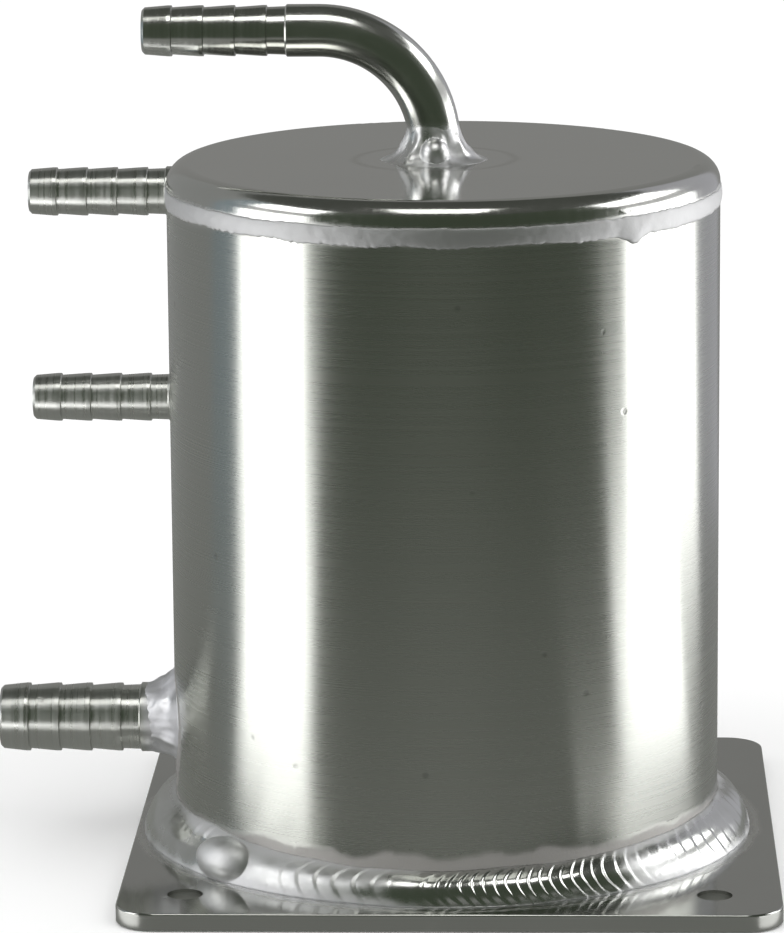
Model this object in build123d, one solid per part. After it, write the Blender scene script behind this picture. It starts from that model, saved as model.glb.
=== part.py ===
from build123d import *
import math
import os

os.makedirs("parts", exist_ok=True)

# Welded aluminium fuel swirl pot, in millimetres.
# The origin is the middle of the four bolt holes, on the plate's underside; +Z is up, -Y is the front,
# and the hose tails point toward -X.

# Base plate
PLATE_SIDE = 119.2
PLATE_THICK = 3.0
PLATE_CORNER = 7.0
PLATE_EDGE = 0.35
HOLE_INSET = 12.1
HOLE_RADIUS = 3.2

# Tank: the tube was tacked a little to the left of the plate's middle
TANK_X = -1.56
TANK_RADIUS = 50.8
TANK_WALL = 2.0
TANK_TOP = 129.0

# Pressed cap
CAP_THICK = 2.0
CAP_CORNER = 4.0
CAP_SKIRT = 2.1
SEAM_HALF_WIDTH = 1.8
SEAM_PROUD = 0.35
SEAM_GROOVE = 0.7

# Hose tails: the small size for the three upper pipes, the large size for the outlet
SMALL_RADIUS = 4.8
SMALL_CREST = 4.65
SMALL_VALLEY = 4.3
SMALL_BORE = 3.2
LARGE_RADIUS = 6.5
LARGE_CREST = 6.4
LARGE_VALLEY = 5.95
LARGE_BORE = 4.8
BARB_COUNT = 4
BARB_FIRST = 5.4
BARB_PITCH = 5.8
BARB_LAND = 0.7
BARB_BACK = 0.15
NECK = 3.7
NECK_STEP = 0.3
NECK_RISE = 0.12
TIP_ROUND = 0.5

# Places of the pipes: heights from the seam and the plate, reach of the tails past the wall
SIDE_PIPE_CLEAR = 2.0
UPPER_PIPE_DROP = 6.6
SIDE_PIPE_SPACING = 40.3
SIDE_TAIL_REACH = 29.8
LOWER_PIPE_RISE = 20.2
LOWER_TAIL_REACH = 32.8
TOP_PIPE_X = -1.5
TOP_LEG = 2.7
BEND_RADIUS = 21.0
TOP_TAIL_LENGTH = 32.3
PIPE_INSIDE = 3.0

# Weld beads at the pipes
SIDE_BEAD = 2.0
SIDE_BEAD_ROUND = 1.4
LOWER_BEAD = 4.0
TOP_BEAD = 5.5
TOP_BEAD_HOLLOW = 6.3

# Base bead: ripples laid one on the next, with a dome where the run starts and stops
BEAD_HEIGHT = 6.6
BEAD_WIDTH = 5.4
BEAD_BULGE = 0.62
BEAD_SWAY = 0.15
BEAD_STEPS = 5
RIPPLE_COUNT = 150
RIPPLE_DROP = 0.045
RIPPLE_FALL = 0.75
RIPPLE_BOW = 1.1
DOME_RADIUS = 4.1
DOME_AZIMUTH = -137.0
DOME_OUT = 3.0
DOME_RISE = 3.2
CUT_MARGIN = 1.0


def tail_profile(length, tube, crest, valley, bore):
    """Half section of a straight pipe along X, its barbed tip at zero."""
    pen = [(TIP_ROUND, bore), (0, bore + TIP_ROUND), (0, valley - TIP_ROUND), (TIP_ROUND, valley)]
    for barb in range(BARB_COUNT):
        end = BARB_FIRST + barb * BARB_PITCH
        pen += [(end - BARB_LAND, crest), (end, crest), (end + BARB_BACK, valley)]
    neck_end = BARB_FIRST + (BARB_COUNT - 1) * BARB_PITCH + NECK
    pen += [(neck_end - NECK_STEP, valley + NECK_RISE), (neck_end, tube), (length, tube), (length, bore)]
    return make_face(Polyline(*[(x, 0, r) for x, r in pen], close=True))


def straight_pipe(tip, y, z, length, tube, crest, valley, bore):
    """A turned pipe along X with its tip at the given place."""
    turned = revolve(tail_profile(length, tube, crest, valley, bore), Axis.X, 360)
    return Pos(tip, y, z) * turned


def rod(start, end, y, z, radius):
    """A plain round bar along X."""
    return Pos((start + end) / 2, y, z) * Rot(0, 90, 0) * Cylinder(radius, end - start)


def named(shape, label):
    solid = shape.solid()
    solid.label = label
    export_step(solid, f"parts/{label}.step")
    return solid


# Heights and reaches that follow from the sizes above
inner_radius = TANK_RADIUS - TANK_WALL
skirt_end = TANK_TOP - CAP_CORNER - CAP_SKIRT
tank_height = skirt_end - PLATE_THICK
side_pipe_y = inner_radius - SMALL_RADIUS - SIDE_PIPE_CLEAR
upper_pipe_z = skirt_end - UPPER_PIPE_DROP
middle_pipe_z = upper_pipe_z - SIDE_PIPE_SPACING
lower_pipe_z = PLATE_THICK + LOWER_PIPE_RISE
side_tip = TANK_X - TANK_RADIUS - SIDE_TAIL_REACH
side_end = TANK_X - math.sqrt(inner_radius ** 2 - (side_pipe_y + SMALL_RADIUS) ** 2) + PIPE_INSIDE
lower_tip = TANK_X - TANK_RADIUS - LOWER_TAIL_REACH
lower_end = TANK_X - inner_radius + PIPE_INSIDE
tank_place = Pos(TANK_X, 0, PLATE_THICK + tank_height / 2)
tank_core = tank_place * Cylinder(TANK_RADIUS, tank_height)

# Base plate: sheet with rounded corners, broken edges and a bolt hole near each corner
plate_sheet = RectangleRounded(PLATE_SIDE, PLATE_SIDE, PLATE_CORNER)
hole_spacing = PLATE_SIDE - 2 * HOLE_INSET
plate_sheet -= GridLocations(hole_spacing, hole_spacing, 2, 2) * Circle(HOLE_RADIUS)
plate = extrude(plate_sheet, PLATE_THICK)
plate_rims = plate.faces().sort_by(Axis.Z)[-1].outer_wire().edges()
plate = fillet(plate_rims, PLATE_EDGE)
base_plate = named(plate, "base_plate")

# Tank tube: holes for the side pipes, top edge bevelled for the seam
upper_rod = rod(side_tip, side_end, side_pipe_y, upper_pipe_z, SMALL_RADIUS)
middle_rod = rod(side_tip, side_end, side_pipe_y, middle_pipe_z, SMALL_RADIUS)
lower_rod = rod(lower_tip, lower_end, 0, lower_pipe_z, LARGE_RADIUS)
tube = tank_core - tank_place * Cylinder(inner_radius, tank_height)
tube_rim = tube.edges().filter_by(GeomType.CIRCLE).group_by(Axis.Z)[-1].sort_by(SortBy.RADIUS)[-1]
tube = chamfer(tube_rim, SEAM_GROOVE)
tube -= [upper_rod, middle_rod, lower_rod]
tank_tube = named(tube, "tank_tube")

# Top cap: pressed cup turned as one section, its skirt bevelled to match the tube
cap_inner = CAP_CORNER - CAP_THICK
cap_side = TANK_RADIUS - CAP_THICK
cap_flat = TANK_RADIUS - CAP_CORNER
cap_bend = TANK_TOP - CAP_CORNER
cap_under = TANK_TOP - CAP_THICK
seam_root = TANK_RADIUS - SEAM_GROOVE
with BuildPart() as cap_build:
    with BuildSketch(Plane.XZ):
        with BuildLine():
            Line((0, TANK_TOP), (cap_flat, TANK_TOP))
            RadiusArc((cap_flat, TANK_TOP), (TANK_RADIUS, cap_bend), CAP_CORNER)
            Line((TANK_RADIUS, cap_bend), (TANK_RADIUS, skirt_end + SEAM_GROOVE))
            Line((TANK_RADIUS, skirt_end + SEAM_GROOVE), (seam_root, skirt_end))
            Line((seam_root, skirt_end), (cap_side, skirt_end))
            Line((cap_side, skirt_end), (cap_side, cap_bend))
            RadiusArc((cap_side, cap_bend), (cap_side - cap_inner, cap_under), -cap_inner)
            Line((cap_side - cap_inner, cap_under), (0, cap_under))
            Line((0, cap_under), (0, TANK_TOP))
        make_face()
    revolve(axis=Axis.Z)
foot_place = Pos(TANK_X + TOP_PIPE_X, 0, TANK_TOP)
foot_cut = 2 * (CAP_THICK + CUT_MARGIN)
cap = Pos(TANK_X, 0, 0) * cap_build.part - foot_place * Cylinder(SMALL_RADIUS, foot_cut)
top_cap = named(cap, "top_cap")

# Straight hose tails, turned from tube
side_length = side_end - side_tip
upper_pipe = straight_pipe(side_tip, side_pipe_y, upper_pipe_z, side_length,
                           SMALL_RADIUS, SMALL_CREST, SMALL_VALLEY, SMALL_BORE)
upper_side_pipe = named(upper_pipe, "upper_side_pipe")
middle_pipe = straight_pipe(side_tip, side_pipe_y, middle_pipe_z, side_length,
                            SMALL_RADIUS, SMALL_CREST, SMALL_VALLEY, SMALL_BORE)
middle_side_pipe = named(middle_pipe, "middle_side_pipe")
lower_pipe = straight_pipe(lower_tip, 0, lower_pipe_z, lower_end - lower_tip,
                           LARGE_RADIUS, LARGE_CREST, LARGE_VALLEY, LARGE_BORE)
lower_outlet_pipe = named(lower_pipe, "lower_outlet_pipe")

# Bent hose tail: a turned straight, a right-angle bend and a short leg through the cap
top_pipe_z = TANK_TOP + TOP_LEG + BEND_RADIUS
bend_start = TANK_X + TOP_PIPE_X - BEND_RADIUS
top_tip = bend_start - TOP_TAIL_LENGTH
leg_end = TANK_TOP - CAP_THICK - PIPE_INSIDE
top_straight = straight_pipe(top_tip, 0, top_pipe_z, TOP_TAIL_LENGTH,
                             SMALL_RADIUS, SMALL_CREST, SMALL_VALLEY, SMALL_BORE)
bend_axis = Axis((bend_start, 0, top_pipe_z - BEND_RADIUS), (0, 1, 0))
tube_ring = Circle(SMALL_RADIUS) - Circle(SMALL_BORE)
bend = revolve(Pos(bend_start, 0, top_pipe_z) * Rot(0, 90, 0) * tube_ring, bend_axis, 90)
leg_ring = Pos(TANK_X + TOP_PIPE_X, 0, top_pipe_z - BEND_RADIUS) * tube_ring
leg = extrude(leg_ring, leg_end - (top_pipe_z - BEND_RADIUS))
top_bent_pipe = named(top_straight + bend + leg, "top_bent_pipe")

# Seam bead between cap and tube: a low crown with its root in the bevels
with BuildPart() as seam_build:
    with BuildSketch(Plane.XZ):
        with BuildLine():
            top_of_bead = (TANK_RADIUS, skirt_end + SEAM_HALF_WIDTH)
            foot_of_bead = (TANK_RADIUS, skirt_end - SEAM_HALF_WIDTH)
            ThreePointArc(top_of_bead, (TANK_RADIUS + SEAM_PROUD, skirt_end), foot_of_bead)
            Line(foot_of_bead, (TANK_RADIUS, skirt_end - SEAM_GROOVE))
            Line((TANK_RADIUS, skirt_end - SEAM_GROOVE), (seam_root, skirt_end))
            Line((seam_root, skirt_end), (TANK_RADIUS, skirt_end + SEAM_GROOVE))
            Line((TANK_RADIUS, skirt_end + SEAM_GROOVE), top_of_bead)
        make_face()
    revolve(axis=Axis.Z)
cap_weld = named(Pos(TANK_X, 0, 0) * seam_build.part, "cap_weld")


def side_bead(z, pipe_rod):
    """Bead that follows the wall round a pipe entering off the axis."""
    collar = rod(side_tip, TANK_X, side_pipe_y, z, SMALL_RADIUS + SIDE_BEAD)
    shell = tank_place * Cylinder(TANK_RADIUS + SIDE_BEAD, 2 * TANK_TOP)
    bead = (collar & shell) - tank_place * Cylinder(TANK_RADIUS, 2 * TANK_TOP)
    crown = bead.edges().filter_by(GeomType.BSPLINE).sort_by(lambda edge: edge.bounding_box().min.X)[0]
    return fillet(crown, SIDE_BEAD_ROUND) - pipe_rod - cap_weld


upper_pipe_weld = named(side_bead(upper_pipe_z, upper_rod), "upper_pipe_weld")
middle_pipe_weld = named(side_bead(middle_pipe_z, middle_rod), "middle_pipe_weld")

# Flared bead round the lower pipe: the fillet of pipe and wall, with both taken out again
seat = (tank_core + lower_rod).edges().filter_by(GeomType.BSPLINE)
lower_bead = fillet(seat, LOWER_BEAD) - tank_core - lower_rod
lower_pipe_weld = named(lower_bead, "lower_pipe_weld")

# Flared bead at the foot of the bent pipe, cut back to the pipe
wall_middle = (SMALL_RADIUS + SMALL_BORE) / 2
with BuildPart() as foot_build:
    with BuildSketch(Plane.XZ):
        with BuildLine():
            toe = (SMALL_RADIUS + TOP_BEAD, 0)
            crest = (SMALL_RADIUS, TOP_BEAD)
            RadiusArc(toe, crest, TOP_BEAD_HOLLOW)
            Line(crest, (wall_middle, TOP_BEAD))
            Line((wall_middle, TOP_BEAD), (wall_middle, 0))
            Line((wall_middle, 0), toe)
        make_face()
    revolve(axis=Axis.Z)
foot_bead = foot_place * Rot(0, 0, 90) * foot_build.part - top_bent_pipe
top_pipe_weld = named(foot_bead, "top_pipe_weld")


def bead_section(azimuth, size):
    """One outline of the base bead, bowed along the run so that its ripples are crescents."""
    sway = 1 + BEAD_SWAY * math.cos(math.radians(2 * azimuth))
    height = BEAD_HEIGHT * sway * size
    width = BEAD_WIDTH * sway * size
    corners = [(-CUT_MARGIN, -CUT_MARGIN, 0), (-CUT_MARGIN, height, 0)]
    for step in range(BEAD_STEPS + 1):
        turn = step / BEAD_STEPS
        hump = turn * (1 - turn)
        lift = 2 * BEAD_BULGE * hump
        out = width * (turn + lift * (1 - turn))
        up = height * (1 - turn + lift * turn)
        corners.append((out, up, 4 * hump * RIPPLE_BOW * ripple_turn))
    corners.append((width, -CUT_MARGIN, 0))
    points = []
    for out, up, bow in corners:
        angle = math.radians(azimuth - bow)
        reach = TANK_RADIUS + out
        points.append((TANK_X + reach * math.cos(angle), reach * math.sin(angle), PLATE_THICK + up))
    return Wire.make_polygon(points, close=True)


# Base bead: ruled through its outlines, joined with its dome, then cut back to the wall and the plate
ripple_turn = 360 / RIPPLE_COUNT
outlines = []
for ripple in range(RIPPLE_COUNT):
    begin = ripple * ripple_turn
    outlines.append(bead_section(begin, 1))
    outlines.append(bead_section(begin + RIPPLE_FALL * ripple_turn, 1 - RIPPLE_DROP))
bead_run = Solid.make_loft(outlines + outlines[:1], ruled=True)
dome_angle = math.radians(DOME_AZIMUTH)
dome_reach = TANK_RADIUS + DOME_OUT
dome_place = Pos(TANK_X + dome_reach * math.cos(dome_angle), dome_reach * math.sin(dome_angle),
                 PLATE_THICK + DOME_RISE)
bead_run += dome_place * Sphere(DOME_RADIUS)
bead_run -= tank_core
bead_run -= Pos(0, 0, PLATE_THICK / 2) * Box(2 * PLATE_SIDE, 2 * PLATE_SIDE, PLATE_THICK)
base_weld = named(bead_run, "base_weld")
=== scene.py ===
import math

import bmesh
import bpy
from mathutils import Matrix, Vector, noise


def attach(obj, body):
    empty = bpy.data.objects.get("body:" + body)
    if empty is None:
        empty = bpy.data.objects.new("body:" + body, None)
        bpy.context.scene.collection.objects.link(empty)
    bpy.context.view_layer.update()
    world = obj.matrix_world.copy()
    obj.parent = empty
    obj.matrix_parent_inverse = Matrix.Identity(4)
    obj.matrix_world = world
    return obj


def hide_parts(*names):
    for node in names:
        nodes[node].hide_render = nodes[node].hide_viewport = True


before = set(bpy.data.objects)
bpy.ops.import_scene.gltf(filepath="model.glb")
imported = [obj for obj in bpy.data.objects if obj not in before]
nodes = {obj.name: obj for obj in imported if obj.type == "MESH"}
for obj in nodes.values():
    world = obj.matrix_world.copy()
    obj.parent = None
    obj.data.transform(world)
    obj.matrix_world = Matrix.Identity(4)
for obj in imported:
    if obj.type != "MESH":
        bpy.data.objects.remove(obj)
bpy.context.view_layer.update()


# The base plate: square aluminium sheet, 3 mm thick, with rolled edges and four drilled holes.
# Its bright rolled face mirrors the tank; the heat of the weld has left pale lines on it.
def metal(name, colour, roughness):
    made = bpy.data.materials.new(name)
    made.use_nodes = True
    shader = made.node_tree.nodes["Principled BSDF"]
    shader.inputs["Base Color"].default_value = (*colour, 1)
    shader.inputs["Metallic"].default_value = 1
    shader.inputs["Roughness"].default_value = roughness
    return made, made.node_tree, shader


def feed(tree, socket, value):
    if isinstance(value, bpy.types.NodeSocket):
        tree.links.new(value, socket)
    else:
        socket.default_value = value


def calc(tree, operation, first, second=0.0):
    node = tree.nodes.new("ShaderNodeMath")
    node.operation = operation
    feed(tree, node.inputs[0], first)
    feed(tree, node.inputs[1], second)
    return node.outputs[0]


def weighed(tree, first, first_share, second, second_share):
    return calc(tree, "ADD", calc(tree, "MULTIPLY", first, first_share),
                calc(tree, "MULTIPLY", second, second_share))


def ramp(tree, value, low, high, start=0.0, end=1.0):
    node = tree.nodes.new("ShaderNodeMapRange")
    node.interpolation_type = "SMOOTHSTEP"
    feed(tree, node.inputs["Value"], value)
    feed(tree, node.inputs["From Min"], low)
    feed(tree, node.inputs["From Max"], high)
    feed(tree, node.inputs["To Min"], start)
    feed(tree, node.inputs["To Max"], end)
    return node.outputs["Result"]


def blend(tree, mask, first, second):
    node = tree.nodes.new("ShaderNodeMix")
    node.data_type = "RGBA"
    feed(tree, node.inputs[0], mask)
    feed(tree, node.inputs[6], first if isinstance(first, bpy.types.NodeSocket) else (*first, 1))
    feed(tree, node.inputs[7], second if isinstance(second, bpy.types.NodeSocket) else (*second, 1))
    return node.outputs[2]


def cloud(tree, place, stretch, detail=2.0):
    scaled = tree.nodes.new("ShaderNodeMapping")
    scaled.inputs["Scale"].default_value = stretch
    tree.links.new(place, scaled.inputs["Vector"])
    node = tree.nodes.new("ShaderNodeTexNoise")
    node.inputs["Scale"].default_value = 1.0
    node.inputs["Detail"].default_value = detail
    tree.links.new(scaled.outputs["Vector"], node.inputs["Vector"])
    return node.outputs[0]


def place_in(tree):
    spot = tree.nodes.new("ShaderNodeTexCoord").outputs["Object"]
    split = tree.nodes.new("ShaderNodeSeparateXYZ")
    tree.links.new(spot, split.inputs[0])
    return spot, split.outputs[0], split.outputs[1], split.outputs[2]


def reach_from(tree, first, second, first_middle, second_middle):
    across = calc(tree, "SUBTRACT", first, first_middle)
    along = calc(tree, "SUBTRACT", second, second_middle)
    return calc(tree, "SQRT", weighed(tree, across, across, along, along))


def relief(tree, shader, height, depth=0.001):
    bump = tree.nodes.new("ShaderNodeBump")
    bump.inputs["Strength"].default_value = 1.0
    bump.inputs["Distance"].default_value = depth
    tree.links.new(height, bump.inputs["Height"])
    tree.links.new(bump.outputs["Normal"], shader.inputs["Normal"])


def dress(node_name, material):
    mesh = nodes[node_name].data
    mesh.materials.clear()
    mesh.materials.append(material)


frost_group = bpy.data.node_groups.new("frost_edge", "ShaderNodeTree")
for frost_socket in ("Distance", "Reach", "Sway"):
    frost_group.interface.new_socket(frost_socket, in_out="INPUT", socket_type="NodeSocketFloat")
frost_group.interface.new_socket("Mask", in_out="OUTPUT", socket_type="NodeSocketFloat")
frost_in = frost_group.nodes.new("NodeGroupInput")
frost_out = frost_group.nodes.new("NodeGroupOutput")
frost_spot = frost_group.nodes.new("ShaderNodeTexCoord").outputs["Object"]
frost_coarse = cloud(frost_group, frost_spot, (110, 110, 40), 1.0)
frost_fine = cloud(frost_group, frost_spot, (900, 900, 500), 2.0)
frost_wave = calc(frost_group, "ADD", calc(frost_group, "SUBTRACT", frost_coarse, 0.5),
                  calc(frost_group, "MULTIPLY", calc(frost_group, "SUBTRACT", frost_fine, 0.5), 0.25))
frost_limit = calc(frost_group, "ADD", frost_in.outputs["Reach"],
                   calc(frost_group, "MULTIPLY", frost_wave, frost_in.outputs["Sway"]))
frost_near = calc(frost_group, "SUBTRACT", frost_limit, frost_in.outputs["Distance"])
frost_group.links.new(ramp(frost_group, frost_near, -0.0006, 0.0012), frost_out.inputs["Mask"])


def frosted(tree, distance, reach, sway):
    node = tree.nodes.new("ShaderNodeGroup")
    node.node_tree = frost_group
    tree.links.new(distance, node.inputs["Distance"])
    node.inputs["Reach"].default_value = reach
    node.inputs["Sway"].default_value = sway
    return node.outputs["Mask"]


wear_group = bpy.data.node_groups.new("fine_wear", "ShaderNodeTree")
for wear_socket in ("Stain", "Speck", "Pit"):
    wear_group.interface.new_socket(wear_socket, in_out="OUTPUT", socket_type="NodeSocketFloat")
wear_out = wear_group.nodes.new("NodeGroupOutput")
wear_spot = wear_group.nodes.new("ShaderNodeTexCoord").outputs["Object"]
wear_group.links.new(cloud(wear_group, wear_spot, (45, 45, 45), 4.0), wear_out.inputs["Stain"])
wear_group.links.new(cloud(wear_group, wear_spot, (1800, 1800, 1800), 2.0), wear_out.inputs["Speck"])
wear_cells = wear_group.nodes.new("ShaderNodeTexVoronoi")
wear_cells.inputs["Scale"].default_value = 95.0
wear_group.links.new(wear_spot, wear_cells.inputs["Vector"])
wear_dot = ramp(wear_group, wear_cells.outputs["Distance"], 0.03, 0.075, 1.0, 0.0)
wear_group.links.new(wear_dot, wear_out.inputs["Pit"])


def worn(tree):
    node = tree.nodes.new("ShaderNodeGroup")
    node.node_tree = wear_group
    return node.outputs["Stain"], node.outputs["Speck"], node.outputs["Pit"]


tank_axis_x = -0.00156
plate_paint, tree, shader = metal("rolled_plate", (0.5, 0.505, 0.485), 0.1)
spot, x, y, z = place_in(tree)
stain, speck, pit = worn(tree)
grain = cloud(tree, spot, (22, 2600, 300), 3.0)
axis_reach = reach_from(tree, x, y, tank_axis_x, 0.0)
toe_frost = frosted(tree, axis_reach, 0.0572, 0.0018)
pale_outer = frosted(tree, axis_reach, 0.0589, 0.0022)
pale_inner = frosted(tree, axis_reach, 0.0580, 0.0022)
pale_line = calc(tree, "SUBTRACT", pale_outer, pale_inner)
bare = blend(tree, stain, (0.47, 0.475, 0.455), (0.53, 0.535, 0.515))
heated = blend(tree, calc(tree, "MULTIPLY", toe_frost, 0.7), bare, (0.72, 0.72, 0.73))
tree.links.new(blend(tree, calc(tree, "MULTIPLY", pale_line, 0.6), heated, (0.85, 0.84, 0.82)),
               shader.inputs["Base Color"])
dull = weighed(tree, toe_frost, 0.22, pale_line, 0.35)
smooth = ramp(tree, weighed(tree, stain, 0.7, grain, 0.3), 0.2, 0.8, 0.07, 0.14)
sawn_side = ramp(tree, z, 0.0027, 0.0022)
dull = calc(tree, "ADD", dull, calc(tree, "MULTIPLY", sawn_side, 0.2))
tree.links.new(calc(tree, "ADD", smooth, dull), shader.inputs["Roughness"])
plate_height = weighed(tree, grain, 0.0012, calc(tree, "MULTIPLY", speck, toe_frost), 0.03)
relief(tree, shader, calc(tree, "SUBTRACT", plate_height, calc(tree, "MULTIPLY", pit, 0.012)))
dress("base_plate", plate_paint)

# The tank: a length of 101.6 mm aluminium tube, brushed round its axis before it was welded.
# Beside the seam, the base bead and the outlet the brushing is burnt to a pale frost.
seam_height = 0.1229
bead_top = 0.0096
outlet_height = 0.0232
wall_paint, tree, shader = metal("brushed_wall", (0.5, 0.51, 0.48), 0.27)
shader.inputs["Anisotropic"].default_value = 0.9
shader.inputs["Anisotropic Rotation"].default_value = 0.25
round_axis = tree.nodes.new("ShaderNodeTangent")
round_axis.direction_type = "RADIAL"
round_axis.axis = "Z"
tree.links.new(round_axis.outputs[0], shader.inputs["Tangent"])
spot, x, y, z = place_in(tree)
stain, speck, pit = worn(tree)
fine_lines = cloud(tree, spot, (26, 26, 6500), 2.0)
broad_lines = cloud(tree, spot, (9, 9, 1500), 2.0)
below_seam = calc(tree, "SUBTRACT", seam_height, z)
above_bead = calc(tree, "SUBTRACT", z, bead_top)
outlet_reach = reach_from(tree, y, z, 0.0, outlet_height)
on_left = ramp(tree, x, -0.03, -0.045)
seam_frost = frosted(tree, below_seam, 0.0016, 0.0022)
bead_frost = frosted(tree, above_bead, 0.0018, 0.0042)
outlet_frost = calc(tree, "MULTIPLY", frosted(tree, outlet_reach, 0.0142, 0.004), on_left)
frost = calc(tree, "MAXIMUM", calc(tree, "MAXIMUM", seam_frost, bead_frost), outlet_frost)
brushed = blend(tree, weighed(tree, fine_lines, 0.5, stain, 0.5), (0.485, 0.495, 0.465), (0.525, 0.533, 0.502))
scuffed = blend(tree, calc(tree, "MULTIPLY", pit, 0.5), brushed, (0.3, 0.3, 0.29))
tree.links.new(blend(tree, calc(tree, "MULTIPLY", frost, 0.9), scuffed, (0.53, 0.515, 0.5)),
               shader.inputs["Base Color"])
line_rough = ramp(tree, weighed(tree, broad_lines, 0.6, fine_lines, 0.4), 0.25, 0.75, 0.26, 0.29)
wall_rough = calc(tree, "ADD", line_rough, calc(tree, "MULTIPLY", frost, 0.58))
tree.links.new(wall_rough, shader.inputs["Roughness"])
wall_height = weighed(tree, fine_lines, 0.0005, calc(tree, "MULTIPLY", speck, frost), 0.05)
tree.links.new(calc(tree, "SUBTRACT", 1.0, calc(tree, "MULTIPLY", frost, 0.22)), shader.inputs["Metallic"])
relief(tree, shader, calc(tree, "SUBTRACT", wall_height, calc(tree, "MULTIPLY", pit, 0.03)))
dress("tank_tube", wall_paint)

# The cap: a pressed aluminium lid with a flat, bright top, a rounded edge and a short skirt.
# A faint ring of heat colour stands round the foot of the bent pipe, and its skirt is frosted.
foot_x = -0.00306
cap_paint, tree, shader = metal("pressed_cap", (0.6, 0.605, 0.58), 0.1)
spot, x, y, z = place_in(tree)
stain, speck, pit = worn(tree)
grain = cloud(tree, spot, (18, 1900, 300), 3.0)
foot_reach = reach_from(tree, x, y, foot_x, 0.0)
skirt_frost = frosted(tree, calc(tree, "SUBTRACT", z, seam_height), 0.0019, 0.0012)
ring_outer = frosted(tree, foot_reach, 0.0156, 0.0008)
ring_inner = frosted(tree, foot_reach, 0.0143, 0.0008)
heat_ring = calc(tree, "SUBTRACT", ring_outer, ring_inner)
on_top = ramp(tree, z, 0.1282, 0.1289)
heat_ring = calc(tree, "MULTIPLY", heat_ring, on_top)
bare = blend(tree, stain, (0.575, 0.58, 0.555), (0.625, 0.63, 0.605))
ringed = blend(tree, calc(tree, "MULTIPLY", heat_ring, 0.6), bare, (0.45, 0.45, 0.41))
tree.links.new(blend(tree, calc(tree, "MULTIPLY", skirt_frost, 0.9), ringed, (0.54, 0.54, 0.545)),
               shader.inputs["Base Color"])
smooth = ramp(tree, weighed(tree, stain, 0.7, grain, 0.3), 0.2, 0.8, 0.07, 0.13)
dull = weighed(tree, skirt_frost, 0.5, heat_ring, 0.1)
press_marks = calc(tree, "MULTIPLY", cloud(tree, spot, (900, 900, 60), 2.0), ramp(tree, z, 0.1289, 0.1284))
dull = calc(tree, "ADD", dull, calc(tree, "MULTIPLY", press_marks, 0.12))
tree.links.new(calc(tree, "ADD", smooth, dull), shader.inputs["Roughness"])
cap_height = weighed(tree, grain, 0.001, calc(tree, "MULTIPLY", speck, skirt_frost), 0.05)
cap_height = calc(tree, "ADD", cap_height, calc(tree, "MULTIPLY", press_marks, 0.012))
relief(tree, shader, calc(tree, "SUBTRACT", cap_height, calc(tree, "MULTIPLY", pit, 0.006)))
dress("top_cap", cap_paint)


# The three straight hose tails: turned from aluminium bar, barbed, with fine rings left by the tool.
# Two small ones enter high and at mid height, off the axis; the larger outlet enters low, on the axis.
def turned_metal(name, ring_count, weld_x):
    made, tree, shader = metal(name, (0.64, 0.65, 0.62), 0.32)
    shader.inputs["Anisotropic"].default_value = 0.85
    shader.inputs["Anisotropic Rotation"].default_value = 0.25
    round_pipe = tree.nodes.new("ShaderNodeTangent")
    round_pipe.direction_type = "RADIAL"
    round_pipe.axis = "X"
    tree.links.new(round_pipe.outputs[0], shader.inputs["Tangent"])
    spot, x, y, z = place_in(tree)
    stain, speck, pit = worn(tree)
    rings = cloud(tree, spot, (ring_count, 30, 30), 2.0)
    weld_near = frosted(tree, calc(tree, "SUBTRACT", weld_x, x), 0.001, 0.002)
    turned = blend(tree, weighed(tree, rings, 0.6, stain, 0.4), (0.5, 0.51, 0.48), (0.78, 0.785, 0.76))
    tree.links.new(blend(tree, calc(tree, "MULTIPLY", weld_near, 0.8), turned, (0.84, 0.84, 0.86)),
                   shader.inputs["Base Color"])
    ring_rough = ramp(tree, rings, 0.25, 0.75, 0.25, 0.38)
    tree.links.new(weighed(tree, ring_rough, 1.0, weld_near, 0.2), shader.inputs["Roughness"])
    relief(tree, shader, weighed(tree, rings, 0.006, pit, -0.02))
    return made


side_turned = turned_metal("side_tail_metal", 1700, -0.031)
dress("upper_side_pipe", side_turned)
dress("middle_side_pipe", side_turned)
dress("lower_outlet_pipe", turned_metal("outlet_tail_metal", 1500, -0.057))

# The bent hose tail on the cap: drawn aluminium tube with a turned, barbed end, bent by a right angle.
# Faint die marks run across the bend, and the foot is frosted where the bead ends.
tail_end_x = -0.0335
bead_end = 0.1345
bent_paint, tree, shader = metal("drawn_tube", (0.62, 0.63, 0.6), 0.18)
spot, x, y, z = place_in(tree)
stain, speck, pit = worn(tree)
rings = cloud(tree, spot, (1700, 30, 30), 2.0)
drawn_lines = cloud(tree, spot, (140, 2300, 140), 2.0)
turned_end = ramp(tree, x, tail_end_x, tail_end_x - 0.0006)
lines = weighed(tree, rings, turned_end, drawn_lines, calc(tree, "SUBTRACT", 1.0, turned_end))
foot_frost = frosted(tree, calc(tree, "SUBTRACT", z, bead_end), 0.0012, 0.002)
bare = blend(tree, weighed(tree, lines, 0.5, stain, 0.5), (0.54, 0.55, 0.52), (0.70, 0.705, 0.68))
tree.links.new(blend(tree, calc(tree, "MULTIPLY", foot_frost, 0.7), bare, (0.84, 0.84, 0.86)),
               shader.inputs["Base Color"])
drawn_rough = ramp(tree, lines, 0.2, 0.8, 0.14, 0.24)
tree.links.new(weighed(tree, drawn_rough, 1.0, foot_frost, 0.2), shader.inputs["Roughness"])
relief(tree, shader, weighed(tree, lines, 0.005, pit, -0.02))
dress("top_bent_pipe", bent_paint)


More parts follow.
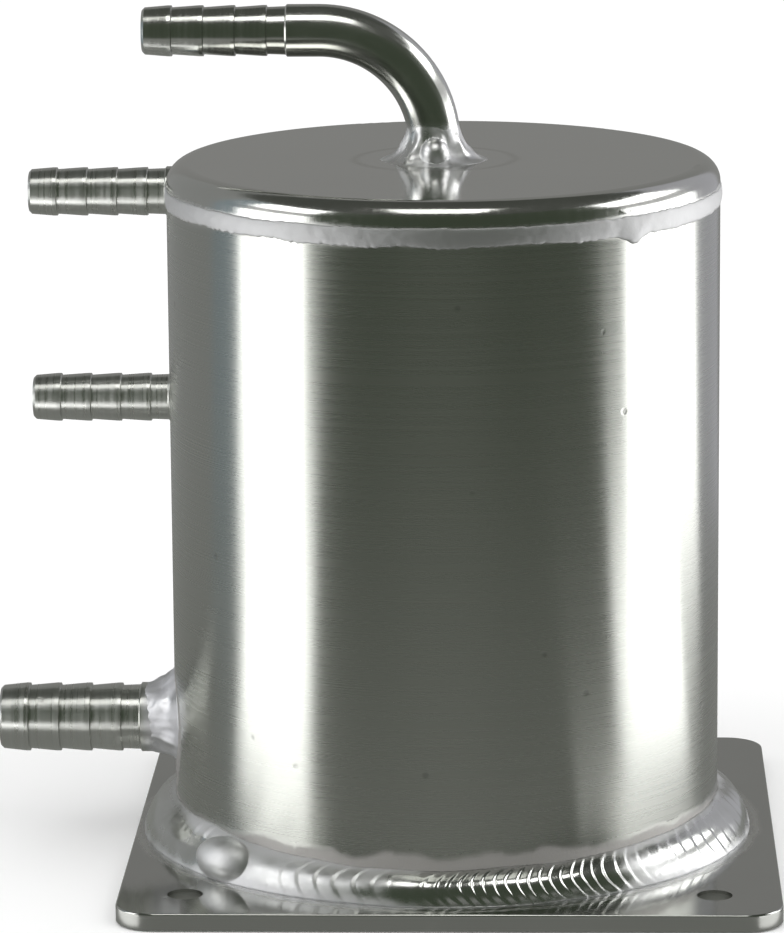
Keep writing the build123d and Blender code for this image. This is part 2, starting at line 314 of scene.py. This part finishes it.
# The beads of the two side pipes: aluminium weld metal, laid by hand round each pipe behind the tank.
# All the beads are of this metal, bright where it ran and frosted where it was burnt.
def weld_metal(name, least_frost, bright, pale, lump_scale, lump_height):
    made, tree, shader = metal(name, bright, 0.3)
    spot, x, y, z = place_in(tree)
    stain, speck, pit = worn(tree)
    laid = tree.nodes.new("ShaderNodeAttribute")
    laid.attribute_name = "frost"
    patches = cloud(tree, spot, (210, 210, 210), 3.0)
    lumps = cloud(tree, spot, (lump_scale, lump_scale, lump_scale), 1.5)
    burnt = calc(tree, "ADD", calc(tree, "ADD", laid.outputs["Fac"], least_frost),
                 calc(tree, "MULTIPLY", patches, 0.6))
    frost = ramp(tree, burnt, 0.3, 1.1)
    tree.links.new(blend(tree, frost, bright, pale), shader.inputs["Base Color"])
    rough = weighed(tree, ramp(tree, frost, 0.0, 1.0, 0.15, 0.6), 1.0, speck, 0.05)
    tree.links.new(rough, shader.inputs["Roughness"])
    height = weighed(tree, lumps, lump_height, calc(tree, "MULTIPLY", speck, frost), 0.03)
    relief(tree, shader, calc(tree, "SUBTRACT", height, calc(tree, "MULTIPLY", pit, 0.02)))
    return made


side_bead_paint = weld_metal("side_bead_metal", 0.3, (0.62, 0.625, 0.61), (0.74, 0.74, 0.755), 330, 0.35)
dress("upper_pipe_weld", side_bead_paint)
dress("middle_pipe_weld", side_bead_paint)


# The seam bead: a low ring of weld metal between cap and tube, burnt to a pale frost all round.
# Its lower edge wavers where the metal sagged, and one round drop hangs at the front right.
def ring_piece(name, steps, rows, surface, inside, paint, node_name):
    shape = bmesh.new()
    frost_layer = shape.verts.layers.float.new("frost")
    bmesh.ops.create_grid(shape, x_segments=steps, y_segments=rows + 2, size=0.5)
    for corner in shape.verts:
        turn = corner.co.x * math.tau
        row = round((corner.co.y + 0.5) * (rows + 2)) - 1
        if row < 0 or row > rows:
            corner.co = inside(turn)
        else:
            corner.co, corner[frost_layer] = surface(turn, row / rows)
    bmesh.ops.remove_doubles(shape, verts=shape.verts, dist=0.000002)
    bmesh.ops.recalc_face_normals(shape, faces=shape.faces)
    for face in shape.faces:
        face.smooth = True
    mesh = bpy.data.meshes.new(name)
    shape.to_mesh(mesh)
    shape.free()
    mesh.materials.append(paint)
    piece = bpy.data.objects.new(name, mesh)
    bpy.context.collection.objects.link(piece)
    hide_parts(node_name)
    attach(piece, "root")


def round_noise(turn, count, level):
    return noise.noise(Vector((math.sin(turn) * count, math.cos(turn) * count, level)))


def round_tank(reach, turn, height):
    return Vector((tank_axis_x + reach * math.sin(turn), -reach * math.cos(turn), height))


tank_radius = 0.0508
sunk = 0.00008
seam_half = 0.0018
seam_proud = 0.00035
seam_sag = 0.0005
drop_turn = math.radians(43)
drop_width = 0.045
drop_length = 0.0014


def seam_surface(turn, across):
    drop = math.exp(-((turn - drop_turn) / drop_width) ** 2)
    top_sway = 0.5 * round_noise(turn, 7, 0.2) + 0.35 * round_noise(turn, 48, 1.4)
    foot_sway = 1.1 * round_noise(turn, 6, 2.6) + 0.6 * round_noise(turn, 60, 3.1)
    top = seam_height + seam_half + seam_sag * top_sway
    foot = seam_height - seam_half - seam_sag * foot_sway - drop_length * drop
    lump = 0.9 + 0.18 * round_noise(turn, 30, across * 3) + 1.2 * drop * across
    proud = seam_proud * lump * math.sin(math.pi * across) ** 0.6
    if across in (0.0, 1.0):
        proud = -sunk
    frost = 0.9 + 0.3 * round_noise(turn, 9, 5.0)
    return round_tank(tank_radius + proud, turn, top + (foot - top) * across), frost


seam_paint = weld_metal("seam_bead_metal", 0.1, (0.46, 0.46, 0.455), (0.54, 0.54, 0.545), 420, 0.06)
ring_piece("seam_bead", 900, 12, seam_surface,
           lambda turn: round_tank(tank_radius - 4 * sunk, turn, seam_height), seam_paint, "cap_weld")

# The outlet bead: a broad flare of weld metal between the lower hose tail and the curved wall.
# It was laid slowly, so it is lumpy and frosted white, longer on the pipe than on the wall.
outlet_radius = 0.0065
outlet_leg = 0.0052
outlet_toe = 0.0022
outlet_front_toe = 0.0026
outlet_top_toe = 0.0014


def outlet_place(reach, turn, lift):
    across = -reach * math.sin(turn)
    wall_x = tank_axis_x - math.sqrt(tank_radius ** 2 - across ** 2)
    return Vector((wall_x - lift, across, outlet_height + reach * math.cos(turn)))


def outlet_surface(turn, across):
    leg = outlet_leg * (1 + 0.22 * round_noise(turn, 1.6, 0.7) + 0.08 * round_noise(turn, 6, 4.0))
    toe = outlet_toe + outlet_front_toe * math.sin(turn) ** 2 + outlet_top_toe * math.cos(turn)
    toe *= 1 + 0.12 * round_noise(turn, 1.8, 2.3) + 0.06 * round_noise(turn, 7, 5.0)
    lump = 0.0005 * noise.noise(Vector((math.sin(turn) * 2.6, math.cos(turn) * 2.6, across * 2.2)))
    hump = math.sin(math.pi * across)
    reach = outlet_radius + toe * across ** 1.5 + lump * hump
    lift = leg * (1 - across) ** 1.35 + lump * hump
    if across == 0.0:
        reach -= sunk
    if across == 1.0:
        lift = -sunk
    return outlet_place(reach, turn, lift), 0.6 + 0.4 * round_noise(turn, 2.5, 7.0)


outlet_paint = weld_metal("outlet_bead_metal", 0.0, (0.6, 0.605, 0.605), (0.68, 0.68, 0.705), 330, 0.12)
ring_piece("outlet_bead", 220, 22, outlet_surface,
           lambda turn: outlet_place(outlet_radius - sunk, turn, -4 * sunk), outlet_paint, "lower_pipe_weld")

# The foot bead: the flared weld that holds the bent hose tail on the cap.
# It is bright and runs up the tube; a round puddle stands out of it at the front, where it ended.
cap_top = 0.129
foot_radius = 0.0048
foot_toe = 0.0051
foot_rise = 0.0064
bend_radius = 0.021
bend_foot = 0.1317
puddle_middle = Vector((0.0002, -0.0062, 0.0019))
puddle_radius = 0.0027


def foot_place(reach, turn, lift):
    lean = max(0.0, cap_top + lift - bend_foot) ** 2 / (2 * bend_radius)
    return Vector((foot_x - lean + reach * math.sin(turn), -reach * math.cos(turn), cap_top + lift))


def foot_surface(turn, across):
    toe = foot_toe * (1 + 0.12 * round_noise(turn, 1.7, 0.4) + 0.05 * round_noise(turn, 6, 1.0))
    rise = foot_rise * (1 + 0.12 * round_noise(turn, 1.5, 2.0))
    lump = 0.0005 * noise.noise(Vector((math.sin(turn) * 3, math.cos(turn) * 3, across * 2.4)))
    hump = math.sin(math.pi * across)
    reach = foot_radius + toe * across ** 1.7 + lump * hump
    lift = rise * (1 - across) ** 1.6 + lump * hump
    if across == 0.0:
        reach -= sunk
    if across == 1.0:
        lift = -sunk
    spot = foot_place(reach, turn, lift)
    frost = 0.45 + 0.35 * round_noise(turn, 2, 6.0)
    if 0.0 < across < 1.0:
        heart = Vector((foot_x, -foot_radius * 0.8, cap_top)) + Vector((puddle_middle.x, 0, 0.001))
        middle = Vector((foot_x, 0, cap_top)) + puddle_middle
        ray = (spot - heart).normalized()
        half = ray.dot(heart - middle)
        inside = half * half - (heart - middle).length_squared + puddle_radius ** 2
        if inside > 0 and -half + math.sqrt(inside) > (spot - heart).length:
            spot = heart + ray * (-half + math.sqrt(inside))
            frost = 0.35
    return spot, frost


foot_bead_paint = weld_metal("foot_bead_metal", 0.0, (0.64, 0.645, 0.625), (0.78, 0.78, 0.80), 300, 0.12)
ring_piece("foot_bead", 360, 26, foot_surface,
           lambda turn: foot_place(foot_radius - sunk, turn, -4 * sunk), foot_bead_paint, "top_pipe_weld")

# The base bead: the long weld between tank and plate, laid in one run from the dome at the front left.
# Its ripples are wide in front on the left, close on the right and swell to a fan at the right side.
plate_top = 0.003
bead_height = 0.0066
bead_width = 0.0054
bead_sway = 0.15
bead_bulge = 0.0013
bead_middle = 53.5
ripple_bow = 0.0028
ripple_fall = 0.3
dome_turn = math.radians(-47)
dome_radius = 0.0041
dome_stretch = 1.65
dome_heart = Vector((0.0513, 0.0, 0.0038))
dome_middle = Vector((0.0538, 0.0, 0.0062))
lump_turn = math.radians(-57)
lump_width = 0.13
# Each stretch of the bead: start in degrees, ripple pitch and ripple depth in millimetres, frost.
bead_zones = (
    (-47, 3.4, 0.03, 0.75), (-30, 3.6, 0.26, 0.5), (-9, 3.0, 0.0, 0.35), (1, 2.05, 0.5, 0.0),
    (34, 2.6, 0.3, 0.05), (42, 2.8, 0.06, 0.4), (55, 3.5, 0.3, 0.25), (74, 3.8, 0.25, 0.1),
    (100, 2.2, 0.3, 0.2), (250, 2.6, 0.2, 0.1), (272, 3.2, 0.0, 0.15), (313, 3.4, 0.0, 0.2))


def bead_state(turn):
    degrees = math.degrees(turn)
    if degrees < bead_zones[0][0]:
        degrees += 360
    count = 0.0
    before = bead_zones[0]
    for here, after in zip(bead_zones, bead_zones[1:]):
        count += math.radians(min(degrees, after[0]) - here[0]) * bead_middle / here[1]
        if degrees <= after[0]:
            share = (degrees - here[0]) / (after[0] - here[0])
            leaving = max(0.0, 1 - (after[0] - degrees) / 4)
            coming = max(0.0, 1 - (degrees - here[0]) / 4)
            depth = here[2] + 0.5 * leaving * (after[2] - here[2]) + 0.5 * coming * (before[2] - here[2])
            return count, depth, here[3] + (after[3] - here[3]) * share
        before = here
    return count, bead_zones[-1][2], bead_zones[-1][3]


def bead_ripple(turn, across):
    bow = ripple_bow * (1 - (2 * across - 1) ** 2) * 1000 / bead_middle
    wander = 0.006 * noise.noise(Vector((math.sin(turn) * 18, math.cos(turn) * 18, across * 2.5)))
    along = turn + bow + wander
    count, depth, frost = bead_state(math.atan2(math.sin(along), math.cos(along)))
    ripple = count % 1.0
    fall = min(1.0, (1 - ripple) / ripple_fall)
    uneven = 0.75 + 0.5 * noise.noise(Vector((math.floor(count) * 0.73, 4.1, 0.0)))
    return depth * uneven * fall * fall * (3 - 2 * fall) * (0.1 + 0.9 * ripple), frost


def bead_surface(turn, across):
    ripple, frost = bead_ripple(turn, across)
    burnt_lump = math.exp(-((turn - lump_turn) / lump_width) ** 2) * max(0.0, 1 - across / 0.38)
    swell = 1 - bead_sway * math.cos(2 * turn) + 0.05 * round_noise(turn, 5, 1.7) + 0.06 * (ripple - 0.15)
    height = bead_height * swell * (1 + 0.12 * burnt_lump)
    width = bead_width * swell
    hump = math.sin(math.pi * across)
    out = bead_bulge * hump + (ripple - 0.12) * 0.001 * hump ** 0.7
    out += burnt_lump * hump * 0.0012 * (1 + round_noise(turn, 30, 8.0))
    slope = math.hypot(height, width)
    reach = tank_radius + width * across + out * height / slope
    rise = plate_top + height * (1 - across) + out * width / slope
    if across == 0.0:
        reach -= sunk
    if across == 1.0:
        rise -= sunk
    frost = max(frost, 1.6 * burnt_lump) + 0.35 * max(0.0, abs(2 * across - 1) - 0.55) / 0.45
    away = turn - dome_turn
    if 0.0 < across < 1.0 and abs(away) < 0.4:
        spot = Vector((reach * math.cos(away), reach * math.sin(away) / dome_stretch, rise))
        ray = (spot - dome_heart).normalized()
        half = ray.dot(dome_heart - dome_middle)
        inside = half * half - (dome_heart - dome_middle).length_squared + dome_radius ** 2
        if inside > 0 and -half + math.sqrt(inside) > (spot - dome_heart).length:
            spot = dome_heart + ray * (-half + math.sqrt(inside))
            frost = 0.5
            turn = dome_turn + math.atan2(spot.y * dome_stretch, spot.x)
            reach = math.hypot(spot.x, spot.y * dome_stretch)
            rise = spot.z
    return round_tank(reach, turn, rise), min(1.0, max(0.0, frost))


base_paint = weld_metal("base_bead_metal", 0.0, (0.62, 0.63, 0.605), (0.8, 0.8, 0.815), 210, 0.05)
ring_piece("base_bead", 1800, 28, bead_surface,
           lambda turn: round_tank(tank_radius - sunk, turn, plate_top - sunk), base_paint, "base_weld")

# The stage: a pale floor that runs well past the view, in a plain bright room.
# It isn't part of the object; it only holds the object's shadow and fills the picture.
floor_half = 6.0
floor_shape = bmesh.new()
bmesh.ops.create_grid(floor_shape, x_segments=1, y_segments=1, size=floor_half)
floor_mesh = bpy.data.meshes.new("floor")
floor_shape.to_mesh(floor_mesh)
floor_shape.free()
floor = bpy.data.objects.new("floor", floor_mesh)
floor.location.z = -0.0004
bpy.context.collection.objects.link(floor)
floor_paint = bpy.data.materials.new("floor_paint")
floor_paint.use_nodes = True
floor_paint.node_tree.nodes["Principled BSDF"].inputs["Base Color"].default_value = (0.95, 0.95, 0.95, 1)
floor_paint.node_tree.nodes["Principled BSDF"].inputs["Roughness"].default_value = 0.9
floor_paint.node_tree.nodes["Principled BSDF"].inputs["Specular IOR Level"].default_value = 0.0
floor_mesh.materials.append(floor_paint)
floor.visible_glossy = False

room = bpy.data.worlds.new("room")
room.use_nodes = True
room.node_tree.nodes["Background"].inputs["Color"].default_value = (1.0, 1.0, 1.0, 1)
room.node_tree.nodes["Background"].inputs["Strength"].default_value = 1.0
bpy.context.scene.world = room
bpy.context.scene.view_settings.view_transform = "Standard"


# The studio cards: white, grey and dark panels round the object, seen only in its reflections.
# Angles are turned from the camera's side, to the right, as seen from the object.
def card_object(name, shape, glow):
    mesh = bpy.data.meshes.new(name)
    shape.to_mesh(mesh)
    shape.free()
    panel = bpy.data.objects.new(name, mesh)
    bpy.context.collection.objects.link(panel)
    card = bpy.data.materials.new(name + "_light")
    card.use_nodes = True
    card.node_tree.nodes.clear()
    lit = card.node_tree.nodes.new("ShaderNodeEmission")
    lit.inputs["Color"].default_value = (*glow, 1)
    out = card.node_tree.nodes.new("ShaderNodeOutputMaterial")
    card.node_tree.links.new(lit.outputs["Emission"], out.inputs["Surface"])
    mesh.materials.append(card)
    panel.visible_camera = False
    panel.visible_diffuse = False
    panel.visible_shadow = False
    panel.visible_transmission = False
    panel.visible_volume_scatter = False


def round_card(name, start, end, outline, glow):
    shape = bmesh.new()
    turn = math.radians(start)
    points = [shape.verts.new((reach * math.sin(turn), -reach * math.cos(turn), height))
              for reach, height in outline]
    edges = [shape.edges.new(pair) for pair in zip(points, points[1:])]
    bmesh.ops.spin(shape, geom=points + edges, cent=(0, 0, 0), axis=(0, 0, 1),
                   angle=math.radians(end - start), steps=max(2, round(abs(end - start) / 5)))
    card_object(name, shape, glow)


card_reach = 1.9
card_head = 1.9
table_near = 0.02
table_middle = 0.3
table_height = -0.0002
white_head = 0.52
grey_head = 1.05
far_outline = ((table_middle, table_height), (card_reach, table_height), (card_reach, card_head))
low_outline = ((table_middle, table_height), (card_reach, table_height), (card_reach, white_head))
middle_outline = ((card_reach, white_head), (card_reach, grey_head))
high_outline = ((card_reach, grey_head), (card_reach, card_head))
sheet_height = table_height + 0.0001
white_outline = ((0.125, sheet_height), (table_middle, sheet_height))
table_outline = ((table_near, table_height), (table_middle, table_height))
round_card("near_table", 0, 360, table_outline, (0.24, 0.245, 0.23))
round_card("front_card", -55.6, 79, far_outline, (0.060, 0.074, 0.052))
round_card("left_white_card", -89, -55.6, low_outline, (3.4, 3.4, 3.4))
round_card("left_middle_card", -89, -55.6, middle_outline, (0.6, 0.6, 0.6))
round_card("left_high_card", -89, -55.6, high_outline, (4.2, 4.2, 4.2))
round_card("left_white_table", -82, -49, white_outline, (3.0, 3.0, 3.0))
round_card("right_white_card", 79, 126, low_outline, (3.4, 3.4, 3.4))
round_card("right_middle_card", 79, 126, middle_outline, (0.6, 0.6, 0.6))
round_card("right_high_card", 79, 126, high_outline, (4.2, 4.2, 4.2))
round_card("right_white_table", 67, 106, white_outline, (3.0, 3.0, 3.0))
round_card("left_blue_card", -106, -89, far_outline, (0.26, 0.31, 0.34))
round_card("left_grey_card", -158, -106, far_outline, (0.30, 0.305, 0.30))
round_card("right_grey_card", 126, 158, far_outline, (0.46, 0.46, 0.49))
round_card("back_card", 158, 202, far_outline, (0.265, 0.265, 0.257))

corner_glow = ((0.083, sheet_height), (0.108, sheet_height))
round_card("left_corner_table", -62, -43, corner_glow, (1.3, 1.3, 1.28))
round_card("right_corner_table", 43, 62, corner_glow, (1.3, 1.3, 1.28))

# The ceiling is dark, with one white card in it above the camera's side.
# The card gives the bright line along the cap's edge and the bead's upper flank.
ceiling_shape = bmesh.new()
bmesh.ops.create_circle(ceiling_shape, cap_ends=True, segments=64, radius=card_reach)
bmesh.ops.translate(ceiling_shape, verts=ceiling_shape.verts, vec=(0, 0, card_head))
card_object("ceiling_card", ceiling_shape, (0.08, 0.085, 0.075))
overhead_height = 1.3
overhead_half = 0.3
overhead_front = -0.8
overhead_back = -0.3
overhead_shape = bmesh.new()
bmesh.ops.create_grid(overhead_shape, x_segments=1, y_segments=1, size=1)
bmesh.ops.scale(overhead_shape, verts=overhead_shape.verts,
                vec=(overhead_half, (overhead_back - overhead_front) / 2, 1))
bmesh.ops.translate(overhead_shape, verts=overhead_shape.verts,
                    vec=(0, (overhead_front + overhead_back) / 2, overhead_height))
card_object("overhead_card", overhead_shape, (3.5, 3.5, 3.4))

# Two soft lamps, left and right of the camera, light the floor and give the shadow.
# They are hidden from reflections, where the cards take their place.
for lamp_name, lamp_x, lamp_watts in (("left_lamp", -1.3, 7), ("right_lamp", 1.3, 7)):
    lamp_data = bpy.data.lights.new(lamp_name, "AREA")
    lamp_data.size = 1.2
    lamp_data.energy = lamp_watts
    lamp = bpy.data.objects.new(lamp_name, lamp_data)
    lamp.location = (lamp_x, -0.9, 1.5)
    lamp.rotation_euler = (Vector((0, 0, 0.06)) - lamp.location).to_track_quat("-Z", "Y").to_euler()
    lamp.visible_glossy = False
    bpy.context.collection.objects.link(lamp)

# The camera stands where the photograph was taken from, a little above the cap.
# Its place, turn and lens were fitted to the outlines of tank, cap, plate and tails.
camera_place = Vector((0.02143, -0.92562, 0.27306))
camera_down = math.radians(12.291)
camera_turn = math.radians(2.029)
camera_roll = math.radians(-0.470)
camera_data = bpy.data.cameras.new("camera")
camera_data.sensor_width = 36
camera_data.lens = 196.97
camera_data.clip_start = 0.05
camera_data.clip_end = 50
camera = bpy.data.objects.new("camera", camera_data)
camera_aim = (Matrix.Rotation(camera_turn, 4, "Z") @ Matrix.Rotation(math.pi / 2 - camera_down, 4, "X")
              @ Matrix.Rotation(camera_roll, 4, "Z"))
camera.matrix_world = Matrix.Translation(camera_place) @ camera_aim
bpy.context.collection.objects.link(camera)
bpy.context.scene.camera = camera
